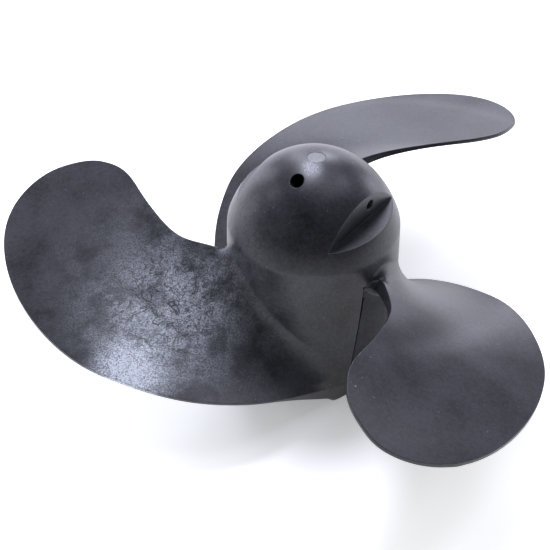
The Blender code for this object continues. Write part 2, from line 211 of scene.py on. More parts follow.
def cut(piece, cutters):
    """Takes each cutter out of the piece with a Boolean, deletes it, and welds what is left."""
    for cutter in cutters:
        boolean = piece.modifiers.new("cut", "BOOLEAN")
        boolean.object = cutter
        boolean.operation = "DIFFERENCE"
        whole = piece.evaluated_get(bpy.context.evaluated_depsgraph_get())
        mesh = bpy.data.meshes.new_from_object(whole)
        piece.modifiers.clear()
        piece.data = mesh
        bpy.data.objects.remove(cutter)
    bm = bmesh.new()
    bm.from_mesh(piece.data)
    bmesh.ops.remove_doubles(bm, verts=bm.verts, dist=WELD_DISTANCE * MM)
    bmesh.ops.dissolve_degenerate(bm, edges=bm.edges, dist=WELD_DISTANCE * MM)
    bm.to_mesh(piece.data)
    bm.free()
    piece.data.shade_smooth()
    piece.data.set_sharp_from_angle(angle=SMOOTH_ANGLE)


SHELL_INNER_RADIUS = 20.6
BOSS_RADIUS = 11.5
BOSS_FORE = -48.0
CORE_TOP = 1.0
CORE_DRAFT = 0.5
RIB_THICKNESS = 3.6
RIB_FORE = -45.0
RIB_AZIMUTHS = (30.0, 90.0, 150.0)
CORE_STEPS = 128
BELOW = HUB_FORE - 2 * CUT_MARGIN

core_outline = [
    (BOSS_RADIUS + CORE_DRAFT, CORE_TOP), (SHELL_INNER_RADIUS - CORE_DRAFT, CORE_TOP),
    (SHELL_INNER_RADIUS, BELOW), (BOSS_RADIUS, BELOW),
]
core = piece_from(spun(core_outline, CORE_STEPS), "core")
rib_height = CORE_TOP + CUT_MARGIN - RIB_FORE
rib_size = (2 * (SHELL_INNER_RADIUS + CUT_MARGIN), RIB_THICKNESS, rib_height)
rib_centre = (0.0, 0.0, RIB_FORE + rib_height / 2)
cut(core, [box(rib_size, rib_centre, azimuth) for azimuth in RIB_AZIMUTHS])
print("core cutter:", len(core.data.polygons), "faces")

# %% [markdown]
# The other cutters are plain shapes, placed by the numbers that a mould maker would give: a turned
# plug for the shaft bore, with a chamfer at its blind end, boxes for the slot and the two notches, and
# rods for the pin hole and the vent. The gate's flat is the end of a rod that stands square to the
# dome, so it takes the shape of a shallow disc wherever on the dome it is put.

# %% The cuts
SHAFT_BORE_RADIUS = 6.2
BORE_CHAMFER = 1.0
BORE_STEPS = 96
DRIVE_SLOT = (26.0, 5.2, 12.0)
DRIVE_SLOT_TOP = BOSS_FORE + 7.0
NOTCH_SIZE = (20.0, 60.0, 30.0)
# Azimuth, distance of the upright wall from the axis, height of the floor
NOTCHES = ((323.6, 16.6, 6.7), (143.6, 17.6, 7.7))
PIN_AZIMUTH = 339.0
PIN_HEIGHT = 11.5
PIN_HOLE_RADIUS = 1.55
PIN_HOLE_STEPS = 48
VENT_POINT = Vector((-5.4, -6.9, 20.7))
VENT_AZIMUTH = 248.0
VENT_ELEVATION = math.radians(40.0)
VENT_RADIUS = 2.1
VENT_REACH = 9.0
GATE_AZIMUTH = 84.0
GATE_OFFSET = 2.3
GATE_RADIUS = 2.7
GATE_DEPTH = 0.25
ROD_STEPS = 64


def notch(azimuth, wall, floor):
    depth, _, height = NOTCH_SIZE
    return box(NOTCH_SIZE, (wall + depth / 2, 0.0, floor + height / 2), azimuth)


def gate_flat():
    half_height, half_width = dome_ellipsoid()
    share = GATE_OFFSET / half_width
    z = half_height * math.sqrt(1.0 - share**2)
    centre = polar(GATE_OFFSET, GATE_AZIMUTH, z - DOME_CENTRE_DEPTH)
    normal = polar(share / half_width, GATE_AZIMUTH, z / half_height**2).normalized()
    return cylinder(GATE_RADIUS, centre - normal * GATE_DEPTH, normal, CUT_MARGIN, ROD_STEPS)


bore_outline = [
    (0.0, SHAFT_BORE_END), (SHAFT_BORE_RADIUS - BORE_CHAMFER, SHAFT_BORE_END),
    (SHAFT_BORE_RADIUS, SHAFT_BORE_END - BORE_CHAMFER), (SHAFT_BORE_RADIUS, BELOW), (0.0, BELOW),
]
vent_way = polar(math.cos(VENT_ELEVATION), VENT_AZIMUTH, math.sin(VENT_ELEVATION))
pin_way = polar(1.0, PIN_AZIMUTH, 0.0)
slot_centre = (0.0, 0.0, DRIVE_SLOT_TOP - DRIVE_SLOT[2] / 2)
boss_end = (0.0, 0.0, BOSS_FORE)
boss_cut_radius = (BOSS_RADIUS + SHELL_INNER_RADIUS) / 2
cut(hub, [
    core,
    cylinder(boss_cut_radius, boss_end, (0.0, 0.0, -1.0), 2 * CUT_MARGIN, BORE_STEPS),
    piece_from(spun(bore_outline, BORE_STEPS), "bore"),
    box(DRIVE_SLOT, slot_centre, 0.0),
    *[notch(*place) for place in NOTCHES],
    cylinder(PIN_HOLE_RADIUS, (0.0, 0.0, PIN_HEIGHT), pin_way, 2 * HUB_RADIUS, PIN_HOLE_STEPS),
    cylinder(VENT_RADIUS, VENT_POINT - vent_way * VENT_REACH, vent_way, 2 * VENT_REACH, ROD_STEPS),
    gate_flat(),
])
print("hub after the cuts:", len(hub.data.polygons), "faces")

# %% [markdown]
# Each blade is a thin twisted sheet. Across it, every section is a nearly straight line that climbs
# round the shaft axis at the section's own pitch, thickest in the middle. Along it, a short table of
# sections gives the sweep, width, height, pitch and thickness, and smooth curves run through the
# table. Such a shape is easiest as a tube with one ring of vertices per section, which is then bent:
# the operators make the mesh, and one function says where a point of it belongs. The tip stays
# 0.15 mm inside the table's last section, again so that the finer mesh stays inside the solid's box.

# %% The blade's sections
TIP_AZIMUTH = 174.8
TIP_RADIUS = 93.85
ROOT_RADIUS = 25.0
# Radius, sweep back from the tip's azimuth and half chord angle in degrees, height of the mid-chord,
# pitch and greatest thickness
BLADE_TABLE = (
    (25.0, 73.2, 44.5, -25.1, 171.0, 7.0),
    (31.0, 59.5, 41.3, -23.1, 161.0, 6.4),
    (40.0, 46.7, 38.9, -20.9, 148.0, 5.4),
    (50.0, 33.1, 40.6, -17.8, 138.5, 4.5),
    (60.0, 22.3, 42.8, -14.7, 134.0, 3.7),
    (70.0, 14.3, 41.9, -13.5, 133.0, 3.0),
    (80.0, 8.4, 40.2, -13.6, 135.5, 2.4),
    (88.0, 3.1, 37.0, -13.7, 139.5, 1.8),
    (94.0, 0.0, 33.0, -13.5, 144.0, 1.4),
)


def slopes(xs, ys):
    """Slope of a smooth curve through the points, at each point."""
    steps = [(ys[i + 1] - ys[i]) / (xs[i + 1] - xs[i]) for i in range(len(xs) - 1)]
    inner = []
    for i in range(1, len(xs) - 1):
        before, after = xs[i] - xs[i - 1], xs[i + 1] - xs[i]
        inner.append((steps[i - 1] * after + steps[i] * before) / (before + after))
    return [2 * steps[0] - inner[0], *inner, 2 * steps[-1] - inner[-1]]


STATIONS = [row[0] for row in BLADE_TABLE]
COLUMNS = [[row[i] for row in BLADE_TABLE] for i in range(6)]
TANGENTS = [slopes(STATIONS, column) for column in COLUMNS]


def section_at(radius):
    """Sweep, half chord angle, height, pitch and thickness at any radius."""
    if radius < STATIONS[0]:
        return [COLUMNS[k][0] + TANGENTS[k][0] * (radius - STATIONS[0]) for k in range(1, 6)]
    i = max(0, min(len(STATIONS) - 2, sum(1 for x in STATIONS[1:-1] if radius > x)))
    step = STATIONS[i + 1] - STATIONS[i]
    t = (radius - STATIONS[i]) / step
    return [
        (1 + 2 * t) * (1 - t) ** 2 * COLUMNS[k][i]
        + t * (1 - t) ** 2 * step * TANGENTS[k][i]
        + t * t * (3 - 2 * t) * COLUMNS[k][i + 1]
        + t * t * (t - 1) * step * TANGENTS[k][i + 1]
        for k in range(1, 6)
    ]


print("section at 55 mm:", [round(value, 1) for value in section_at(55.0)])

# %% [markdown]
# Below each blade the fore half of the mould closed against the hub and left it a little thinner. The
# recess begins with a step along the line where the two halves met, and beside the step runs a groove.
# The cutter is a grid laid on the floor of the recess and then extruded straight out from the axis.
# A Solidify modifier would thicken it square to the surface instead, and undercut the groove's walls.

# %% Relief under the blades
RELIEF_TOP = -7.5
RELIEF_TOP_DEPTH = 0.9
RELIEF_FORE_DEPTH = 1.8
PARTING_AZIMUTH_TOP = 184.3
PARTING_AZIMUTH_FORE = 172.5
PARTING_BEND = 1.5
GROOVE_SHARE = 0.034
GROOVE_RUNOUT = 5.0
GROOVE_WALL_SHARE = 0.0008
GROOVE_DEPTH = 1.5
RELIEF_END_AZIMUTH = 290.0
RELIEF_STEPS = 120
RELIEF_ROWS = 40
CUTTER_THICKNESS = 4.0


def relief_radius(z):
    share = (RELIEF_TOP - z) / (RELIEF_TOP - HUB_FORE)
    return HUB_RADIUS - RELIEF_TOP_DEPTH - (RELIEF_FORE_DEPTH - RELIEF_TOP_DEPTH) * max(0.0, share)


def relief_cutter(turn):
    """A grid laid on the floor of the recess below a blade, and extruded straight out from the axis."""
    groove_end = GROOVE_SHARE + GROOVE_WALL_SHARE
    first_step = math.ceil(groove_end * RELIEF_STEPS)
    shares = [0.0, GROOVE_SHARE, groove_end]
    shares += [i / RELIEF_STEPS for i in range(first_step, RELIEF_STEPS + 1)]
    last = len(shares) - 1
    bm = bmesh.new()
    bmesh.ops.create_grid(bm, x_segments=last, y_segments=RELIEF_ROWS, size=0.5)
    root = section_at(HUB_RADIUS)
    trailing = TIP_AZIMUTH + root[0] - root[1]
    lean = PARTING_AZIMUTH_FORE - PARTING_AZIMUTH_TOP
    for vertex in bm.verts:
        column = round((vertex.co.x + 0.5) * last)
        across, down = shares[column], 0.5 - vertex.co.y
        azimuth = PARTING_AZIMUTH_TOP + (RELIEF_END_AZIMUTH - PARTING_AZIMUTH_TOP) * across
        top = RELIEF_TOP + (HUB_FORE - RELIEF_TOP) * max(0.0, azimuth - trailing) / (2 * root[1])
        z = top + (BELOW - top) * down
        share = (RELIEF_TOP - z) / (RELIEF_TOP - HUB_FORE)
        azimuth += lean * max(0.0, share) ** PARTING_BEND * (1.0 - across)
        groove = 0.0
        if column < 2:
            groove = GROOVE_DEPTH * smooth_step((RELIEF_TOP - z) / GROOVE_RUNOUT)
        vertex.co = polar(relief_radius(z) - groove, azimuth + turn, z)
    extruded = bmesh.ops.extrude_face_region(bm, geom=bm.faces[:])
    for vertex in extruded["geom"]:
        if isinstance(vertex, bmesh.types.BMVert):
            vertex.co += Vector((vertex.co.x, vertex.co.y, 0.0)).normalized() * CUTTER_THICKNESS
    bmesh.ops.recalc_face_normals(bm, faces=bm.faces)
    return piece_from(bm, "relief_cutter")


cut(hub, [relief_cutter(120.0 * k) for k in range(3)])
print("hub with its relief:", len(hub.data.polygons), "faces")

# %% [markdown]
# A moulded blade never meets its hub at a bare corner: a fillet spreads the load and lets the plastic
# flow. Here the foot of the blade flares until it lies flat on the hub's wall, or on the floor of the
# recess below it, and its last ring slips a hair's breadth under the surface. The two pieces then
# shade as one, without a Boolean seam. The edges are round, and thicken forward near the hub.

# %% The foot's fillets and the blade's edges
EDGE_THICKNESS = 1.2
EDGE_BULGE = 0.1
EDGE_ROUND = 0.6
LEADING_ROOT_THICKNESS = 3.8
LEADING_ROOT_REACH = 17.0
TRAILING_ROOT_THICKNESS = 3.4
TRAILING_ROOT_REACH = 28.0
FACE_FILLET = 6.2
BACK_FILLET = 5.0
LEADING_FILLET = 4.0
TRAILING_FILLET_SHARE = 0.5
CORNER_BEGIN = 0.86
TRAILING_DROOP = 3.0
DROOP_REACH = 14.0
DROOP_BEGIN = 0.5
TRAILING_FILLET = 5.0
# Directions in which the fillets of the two ends spread, in degrees: 90 aft, 270 forward
LEADING_SPREAD = 60.0
TRAILING_SPREAD_FACE = 235.0
TRAILING_SPREAD_BACK = 275.0
RECESS_LEADING_END = 0.85
FILLET_SINK = 0.02
CHORD_STEPS = 73
EDGE_TURNS = (62, 35, 12, -12, -35, -62)
RECESS_EDGE_TURN = 60.0


def fillet_rise(distance, fillet):
    """How far a quarter-round fillet stands off the blade, at a distance from the hub's surface."""
    inside = fillet - min(fillet, max(0.0, distance))
    return fillet - math.sqrt(fillet * fillet - inside * inside)


def section_loop():
    """One turn round a section, as chord share, side of the blade and turn round its edge in degrees.

    The chord share runs from -1 at the trailing edge to 1 at the leading edge. The side is 1 on the
    aft face, -1 on the fore back and 0 on an edge, which turns from 90 at the face to -90 at the
    back."""
    loop = []
    for side in (1, -1):
        for i in range(CHORD_STEPS + 1):
            loop.append((-math.cos(math.pi * i / CHORD_STEPS) * side, side, 90.0 * side))
        loop += [(float(side), 0, turn * side) for turn in EDGE_TURNS]
    return loop


def mix(a, b, share):
    return a + (b - a) * share


def fillet_at(chord, side, edge_turn):
    """Size of the fillet at a place round the section, and the direction it spreads in, in degrees."""
    corner = smooth_step((abs(chord) - CORNER_BEGIN) / (1.0 - CORNER_BEGIN))
    face_size = FACE_FILLET * mix(TRAILING_FILLET_SHARE, 1.0, smooth_step((chord + 1.0) / 2))
    down = 0.5 - edge_turn / 180.0
    if chord > 0.0:
        face = (mix(face_size, LEADING_FILLET, corner), mix(90.0, LEADING_SPREAD, corner))
        back = (mix(BACK_FILLET, LEADING_FILLET, corner), mix(-90.0, -LEADING_SPREAD, corner))
        edge = (LEADING_FILLET, mix(LEADING_SPREAD, -LEADING_SPREAD, down))
    else:
        end = smooth_step((-chord - DROOP_BEGIN) / (1.0 - DROOP_BEGIN))
        face = (mix(face_size, TRAILING_FILLET, end), mix(90.0, TRAILING_SPREAD_FACE, corner))
        back = (BACK_FILLET, mix(270.0, TRAILING_SPREAD_BACK, corner))
        direction = mix(TRAILING_SPREAD_FACE, TRAILING_SPREAD_BACK, down)
        edge = (mix(TRAILING_FILLET, BACK_FILLET, down), direction)
    return {1: face, -1: back, 0: edge}[side]


def blade_point(radius, chord, side, edge_turn, azimuth_0):
    """Where a point of the tube goes: its nominal radius, its place round the section, its blade."""
    outward = min(1.0, max(0.0, (radius - ROOT_RADIUS) / (TIP_RADIUS - ROOT_RADIUS)))
    sweep, half_angle, mid_z, pitch, greatest = section_at(radius)
    half_angle *= math.sqrt(1.0 - outward**2)
    slope = math.atan2(pitch, 2 * math.pi * radius)
    distance = radius - HUB_RADIUS
    turn = math.radians(edge_turn)

    # Near the hub both edges thicken forward
    leading_extra, trailing_extra = 0.0, 0.0
    if chord > 0.0:
        near_hub = 1.0 - smooth_step(distance / LEADING_ROOT_REACH)
        leading_extra = (LEADING_ROOT_THICKNESS - EDGE_THICKNESS) * near_hub
    else:
        near_hub = 1.0 - smooth_step(distance / TRAILING_ROOT_REACH)
        trailing_extra = (TRAILING_ROOT_THICKNESS - EDGE_THICKNESS) * near_hub
    edge = EDGE_THICKNESS + leading_extra + trailing_extra
    thickness = edge + (greatest - edge) * (1.0 - chord * chord)
    height = EDGE_THICKNESS / 2
    reach = 0.0
    lowness = 0.0
    if side < 0:
        height -= thickness
        lowness = chord * chord
    elif side == 0:
        flat = edge / 2 - EDGE_ROUND
        height += -edge / 2 + math.copysign(flat, turn) + EDGE_ROUND * math.sin(turn)
        lowness = (EDGE_THICKNESS / 2 - height) / edge
        reach = chord * EDGE_BULGE * math.cos(turn)
    reach += leading_extra * lowness * math.tan(slope)

    # The foot spreads across the blade on its two sides and round its ends, and at the trailing end
    # it also curls down along the hub, to the parting line
    size, direction = fillet_at(chord, side, edge_turn)
    rise = fillet_rise(distance, size)
    height += rise * math.sin(math.radians(direction))
    reach += rise * math.cos(math.radians(direction))
    droop_share = max(0.0, 1.0 - max(0.0, distance) / DROOP_REACH) ** 2
    height -= TRAILING_DROOP * droop_share * smooth_step((-chord - DROOP_BEGIN) / (1.0 - DROOP_BEGIN))

    # The aft side leans towards growing azimuth, because the blade drops that way
    tangential = reach * math.cos(slope) + height * math.sin(slope)
    azimuth = TIP_AZIMUTH + azimuth_0 + sweep + half_angle * chord + math.degrees(tangential / radius)
    z = mid_z - pitch * half_angle * chord / 360.0 + height * math.cos(slope) - reach * math.sin(slope)

    # The foot ends on the wall's draft, or on the recess below the blade
    recessed = 0.0
    if side < 0:
        recessed = 1.0 - smooth_step((chord - RECESS_LEADING_END) / (1.0 - RECESS_LEADING_END))
    if side == 0 and chord < 0.0:
        recessed = smooth_step(0.5 - edge_turn / (2 * RECESS_EDGE_TURN))
    wall = wall_radius(z) + (relief_radius(z) - wall_radius(z)) * recessed
    fade = 1.0 - smooth_step(distance / (2 * FACE_FILLET))
    return polar(radius + (wall - HUB_RADIUS - FILLET_SINK) * fade, azimuth, z)


print("points round a section:", len(section_loop()))

# %% [markdown]
# The tube begins as a cone with equal ends, which is a cylinder with one vertex for each point round
# a section. Cuts along it give the rings, close together where the fillet turns and towards the round
# tip, and then each vertex moves to its place on the blade. The leading corner would reach below the
# hub's fore rim, so the mesh is trimmed level with the rim.

# %% Three blades
FOOT_ANGLES = (0, 4, 8, 13, 18, 24, 30, 37, 44, 52, 60, 68, 76, 84, 90)
SPAN_STEPS = 84
TIP_SHARE = 0.996
FOOT_SINK = 0.6


def ring_radii():
    radii = [HUB_RADIUS - FOOT_SINK]
    radii += [HUB_RADIUS + FACE_FILLET * (1.0 - math.cos(math.radians(a))) for a in FOOT_ANGLES]
    reach = TIP_RADIUS - ROOT_RADIUS
    begin = math.asin((radii[-1] - ROOT_RADIUS) / reach) / (math.pi / 2)
    for i in range(1, SPAN_STEPS + 1):
        share = begin + (TIP_SHARE - begin) * i / SPAN_STEPS
        radii.append(ROOT_RADIUS + reach * math.sin(math.pi / 2 * share))
    return radii


def blade(azimuth_0, name):
    loop = section_loop()
    radii = ring_radii()
    bm = bmesh.new()
    bmesh.ops.create_cone(
        bm, cap_ends=True, segments=len(loop), radius1=1.0, radius2=1.0, depth=1.0
    )
    lengthwise = [e for e in bm.edges if abs(e.verts[0].co.z - e.verts[1].co.z) > 0.5]
    bmesh.ops.subdivide_edges(bm, edges=lengthwise, cuts=len(radii) - 2, use_grid_fill=True)
    for vertex in bm.verts:
        turn = math.atan2(vertex.co.y, vertex.co.x) / (2 * math.pi)
        place = loop[math.floor(turn * len(loop) + 0.25) % len(loop)]
        ring = radii[round((vertex.co.z + 0.5) * (len(radii) - 1))]
        vertex.co = blade_point(ring, *place, azimuth_0)
    whole = list(bm.verts) + list(bm.edges) + list(bm.faces)
    trimmed = bmesh.ops.bisect_plane(
        bm, geom=whole, dist=0.0001, plane_co=(0.0, 0.0, HUB_FORE), plane_no=(0.0, 0.0, -1.0),
        clear_outer=True,
    )
    rim_edges = [e for e in trimmed["geom_cut"] if isinstance(e, bmesh.types.BMEdge)]
    bmesh.ops.edgenet_fill(bm, edges=rim_edges)
    bmesh.ops.recalc_face_normals(bm, faces=bm.faces)
    return piece_from(bm, name)


blades = [blade(120.0 * k, name) for k, name in enumerate(("blade_left", "blade_right", "blade_back"))]
print("faces per blade:", [len(piece.data.polygons) for piece in blades])

# %% [markdown]
# Glass-filled nylon isn't one flat grey. Its skin carries a fine grain from the mould, the flow of
# the melt leaves broad uneven patches and small crinkles, and dust clings to it. A shader builds all
# of that from nodes, but a graph written call by call hides its arithmetic. Two small classes keep it
# readable: a `Value` is a node's output that can be added or multiplied like a number, and a `Shade`
# holds one material and adds any other node, its settings first and its inputs after them.

# %% Values and shades
class Value:
    """The output of a node, which takes part in sums like a number."""

    def __init__(self, shade, socket):
        self.shade = shade
        self.socket = socket

    def math(self, operation, first, second):
        return self.shade.node("ShaderNodeMath", {"operation": operation}, {0: first, 1: second})

    def __add__(self, other):
        return self.math("ADD", self, other)

    def __sub__(self, other):
        return self.math("SUBTRACT", self, other)

    def __rsub__(self, other):
        return self.math("SUBTRACT", other, self)

    def __mul__(self, other):
        return self.math("MULTIPLY", self, other)

    def __pow__(self, other):
        return self.math("POWER", self, other)

    __radd__ = __add__
    __rmul__ = __mul__


class Shade:
    """A Principled material whose textures are laid out in mm from the object's own origin."""

    def __init__(self, name):
        self.material = bpy.data.materials.new(name)
        self.material.use_nodes = True
        self.tree = self.material.node_tree
        self.shader = self.tree.nodes["Principled BSDF"]
        place = self.node("ShaderNodeTexCoord", {}, {}, "Object")
        self.place = self.vector("SCALE", {0: place, "Scale": 1.0 / MM})

    def node(self, kind, settings, inputs, output=0):
        node = self.tree.nodes.new(kind)
        for name, value in settings.items():
            setattr(node, name, value)
        for name, value in inputs.items():
            if isinstance(value, Value):
                self.tree.links.new(value.socket, node.inputs[name])
            else:
                node.inputs[name].default_value = value
        return Value(self, node.outputs[output])

    def vector(self, operation, inputs, output=0):
        return self.node("ShaderNodeVectorMath", {"operation": operation}, inputs, output)

    def ramp(self, value, low, high):
        """Rises smoothly from 0 at low to 1 at high, and falls when high is the smaller."""
        return self.node(
            "ShaderNodeMapRange", {"interpolation_type": "SMOOTHSTEP"},
            {"Value": value, "From Min": low, "From Max": high},
        )

    def near(self, centre, inner, outer):
        """1 within the inner distance of a point, 0 beyond the outer one."""
        distance = self.vector("DISTANCE", {0: self.place, 1: centre}, "Value")
        return self.ramp(distance, outer, inner)

    def noise(self, per_mm, detail=2.0, distortion=0.0):
        inputs = {"Vector": self.place, "Scale": per_mm, "Detail": detail, "Distortion": distortion}
        return self.node("ShaderNodeTexNoise", {}, inputs)

    def specks(self, per_mm, radius):
        """Round dots scattered in space, seen where a surface passes through one."""
        distance = self.node("ShaderNodeTexVoronoi", {}, {"Vector": self.place, "Scale": per_mm})
        return self.ramp(distance, radius * per_mm, 0.5 * radius * per_mm)

    def blend(self, share, first, second):
        return self.node("ShaderNodeMix", {"data_type": "RGBA"}, {0: share, 6: first, 7: second}, 2)

    def set(self, **inputs):
        """Constants go straight into the shader's sockets, and values are linked to them."""
        for name, value in inputs.items():
            socket = self.shader.inputs[name.replace("_", " ").title()]
            if isinstance(value, Value):
                self.tree.links.new(value.socket, socket)
            else:
                socket.default_value = value


plastic = Shade("charcoal glass-filled plastic")
print("the empty shade has", len(plastic.tree.nodes), "nodes")

# %% [markdown]
# First the places. The melt was injected at the dome, whose gate left a small dull disc, and beside
# it a pale spot is a painted highlight. The melt reached the left blade last and coolest, and there the
# skin is coarse, with dark pits and a few crinkles. Across it runs a painted sheen: a pale mottled
# streak from the middle of the blade to its leading edge, brightest at the edge. Each place is a soft
# ball round one point, which is quick to move and to widen, and slow noise frays the balls where they
# fade out. The recess below the blades and the groove in it are found by their distance from the
# shaft's axis.

# %% Where the skin is coarse, where the gate was, and the painted sheen, highlight and shade
BLADE_PATCH = (-43.0, -20.0, -33.0)
# Centres of the painted sheen on the left blade, in mm: pale colour standing in for a highlight
SHEEN_MIDDLE = (-38.5, -16.0, -29.5)
SHEEN_STREAK = (-46.0, -29.0, -35.5)
SHEEN_HOT_SPOT = (-53.0, -42.0, -40.5)
GATE_CENTRE = (0.2, 2.3, 5.3)
# Centre of a painted highlight on the dome, beside the gate's disc
DOME_HIGHLIGHT_SPOT = (-1.3, -2.6, 5.3)
RIGHT_BLADE_EDGE = (7.0, -66.0, -19.0)
DRIFTS_PER_MM = 0.07
FRAYS_PER_MM = 0.14
DOME_HIGHLIGHT_STRENGTH = 0.18
RECESS_FADE_TOP = -23.0
RECESS_FADE_END = -25.0
GROOVE_BEGIN = HUB_RADIUS - RELIEF_FORE_DEPTH
GROOVE_SOFTNESS = 0.6
SHELL_MARGIN = 0.4

height_above = plastic.node("ShaderNodeSeparateXYZ", {}, {"Vector": plastic.place}, "Z")
drift = plastic.noise(DRIFTS_PER_MM, 3.0)
patch = plastic.near(BLADE_PATCH, 12.0, 44.0) * plastic.ramp(drift, 0.3, 0.55)
heart = plastic.near(BLADE_PATCH, 6.0, 30.0)
gate = plastic.near(GATE_CENTRE, GATE_RADIUS - 0.2, GATE_RADIUS)
frayed = plastic.ramp(plastic.noise(FRAYS_PER_MM, 3.0), 0.35, 0.55)
# Painted sheen: pale colour on the left blade in soft balls, strongest at the leading edge
painted_sheen = (
    0.05 * plastic.near(BLADE_PATCH, 16.0, 50.0)
    + 0.14 * plastic.near(SHEEN_MIDDLE, 0.0, 26.0)
    + 0.22 * plastic.near(SHEEN_STREAK, 0.0, 30.0)
) * (0.35 + 0.65 * frayed) + 0.72 * plastic.near(SHEEN_HOT_SPOT, 0.0, 16.0) ** 1.3
# Painted highlight: a pale spot on the dome beside the gate's disc
painted_dome_highlight = DOME_HIGHLIGHT_STRENGTH * plastic.near(DOME_HIGHLIGHT_SPOT, 0.3, 4.6)
level_place = plastic.vector("MULTIPLY", {0: plastic.place, 1: (1.0, 1.0, 0.0)})
from_axis = plastic.vector("LENGTH", {0: level_place}, "Value")
below_dome = plastic.ramp(height_above, RECESS_FADE_TOP, RECESS_FADE_END)
recess = plastic.ramp(from_axis, HUB_RADIUS - 0.3, HUB_RADIUS - 0.7) * below_dome
in_groove = plastic.ramp(from_axis, GROOVE_BEGIN, GROOVE_BEGIN - GROOVE_SOFTNESS)
core_side = SHELL_INNER_RADIUS + SHELL_MARGIN
outside_core = plastic.ramp(from_axis, core_side, core_side + GROOVE_SOFTNESS)
# Painted shade: the groove of the mould line is darkened, below the dome and outside the core
groove_shade = in_groove * outside_core * below_dome
print("masks made; nodes so far:", len(plastic.tree.nodes))

# %% [markdown]
# Then the heights, in mm, which one Bump node turns into tilts of the surface. Fine grain covers the
# whole skin and is several times deeper in the coarse patch. Crinkles are the places where a slow,
# distorted noise passes through its middle value: such a place is a thin wandering line, as a wrinkle
# in a skin is. A Bevel node comes before the Bump, and turns the sharp edges of the cuts into the small
# rounds that catch the light on a real moulding.

# %% Heights of the skin
EDGE_BREAK = 0.3
GRAIN_DEPTH = 0.01
PATCH_GRAIN_DEPTH = 0.05
LUMP_DEPTH = 0.015
PATCH_LUMP_DEPTH = 0.07
CRINKLE_DEPTH = 0.04
CRINKLE_WIDTH = 0.0006
GRAINS_PER_MM = 2.4
LUMPS_PER_MM = 0.55
CRINKLES_PER_MM = 0.16
CRINKLE_TWIST = 1.2

grain = plastic.noise(GRAINS_PER_MM, 2.0) * (GRAIN_DEPTH + PATCH_GRAIN_DEPTH * patch)
lumps = plastic.noise(LUMPS_PER_MM, 2.0)
wander = plastic.noise(CRINKLES_PER_MM, 3.0, CRINKLE_TWIST)
crinkle = plastic.ramp((wander - 0.5) ** 2.0, CRINKLE_WIDTH, 0.0)
height = grain + lumps * (LUMP_DEPTH + PATCH_LUMP_DEPTH * patch) - crinkle * heart * CRINKLE_DEPTH
edges = plastic.node("ShaderNodeBevel", {"samples": 6}, {"Radius": EDGE_BREAK * MM})
bump = plastic.node(
    "ShaderNodeBump", {}, {"Strength": 1.0, "Distance": MM, "Height": height, "Normal": edges}, "Normal"
)
print("grain depth in the patch, mm:", round(GRAIN_DEPTH + PATCH_GRAIN_DEPTH, 3))

# %% [markdown]
# Last the colour and the gloss. The plastic is a near-black charcoal with a breath of blue. Broad
# drifts make it a little lighter and darker, dust shows as pale specks, thickest along the right
# blade's edge, painted shade darkens the groove of the mould line, and the recess beside it is duller.
# So is the gate's disc, which is also paler than the skin round it. The painted sheen on the left
# blade and the painted highlight beside the gate are a mix towards a pale blue-white, broken up by two
# noises, one fine and one coarser that leaves the pits dark, and by the crinkles.

# %% Colour and gloss of the plastic
CHARCOAL_DARK = (0.008, 0.008, 0.0105, 1.0)
CHARCOAL_LIGHT = (0.044, 0.0445, 0.055, 1.0)
# Near-black colour of the painted shade in the groove
GROOVE_SHADE_COLOUR = (0.004, 0.004, 0.005, 1.0)
GATE_COLOUR = (0.3, 0.3, 0.31, 1.0)
# Pale blue-white of the painted sheen and of the painted highlight by the gate
SHEEN_COLOUR = (0.78, 0.83, 0.92, 1.0)
DUST_COLOUR = (0.5, 0.5, 0.52, 1.0)
ROUGHNESS = 0.33
CLOUDS_PER_MM = 0.9
GRIT_PER_MM = 3.0
GATE_MARKS_PER_MM = 1.3
MOTTLE_PER_MM = 2.3

# Each speck takes how many there are per mm, and its radius in mm
dust = plastic.specks(0.2, 0.22) * 0.35 + plastic.specks(0.3, 0.14) * 0.6
edge_dust = plastic.specks(0.5, 0.26) * plastic.near(RIGHT_BLADE_EDGE, 4.0, 9.0)
clouds, grit = plastic.noise(CLOUDS_PER_MM, 4.0), plastic.noise(GRIT_PER_MM, 1.0)
tone = 0.4 * drift + 0.3 * clouds + 0.3 * grit
charcoal = plastic.blend(plastic.ramp(tone, 0.34, 0.66), CHARCOAL_DARK, CHARCOAL_LIGHT)
# The groove takes the painted shade's near-black colour
groove_shaded = plastic.blend(groove_shade, charcoal, GROOVE_SHADE_COLOUR)
skin = plastic.blend(gate * (0.35 + 0.8 * plastic.noise(GATE_MARKS_PER_MM)), groove_shaded, GATE_COLOUR)
pits = 0.5 + 0.5 * plastic.ramp(lumps, 0.34, 0.5)
sheen_mottle = plastic.ramp(plastic.noise(MOTTLE_PER_MM, 4.0), 0.3, 0.7) * pits
# How much painted sheen and highlight each place gets, broken by fine mottle, pits and crinkles
sheen_share = (painted_sheen + painted_dome_highlight) * (0.4 + 2.2 * sheen_mottle) * (1.0 - 0.8 * crinkle * heart)
sheened_skin = plastic.blend(sheen_share, skin, SHEEN_COLOUR)
plastic.set(
    base_color=plastic.blend(dust + edge_dust, sheened_skin, DUST_COLOUR),
    roughness=ROUGHNESS + 0.1 * drift + 0.06 * patch + 0.2 * gate + 0.4 * recess,
    normal=bump,
)
for piece in [hub, *blades]:
    piece.data.materials.clear()
    piece.data.materials.append(plastic.material)
    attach(piece, "root")
    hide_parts("propeller")
print("nodes in the plastic:", len(plastic.tree.nodes))

# %% [markdown]
# The photograph looks down on the propeller from 43 degrees with a long lens, so the blades hardly
# taper. The camera's place was solved from the outlines of the three equal blades, and is written
# here as the angles and distances a photographer would note: height, roll, distance from the dome's
# base, and how far the optical axis passes beside it. The lens follows from the size in the picture.

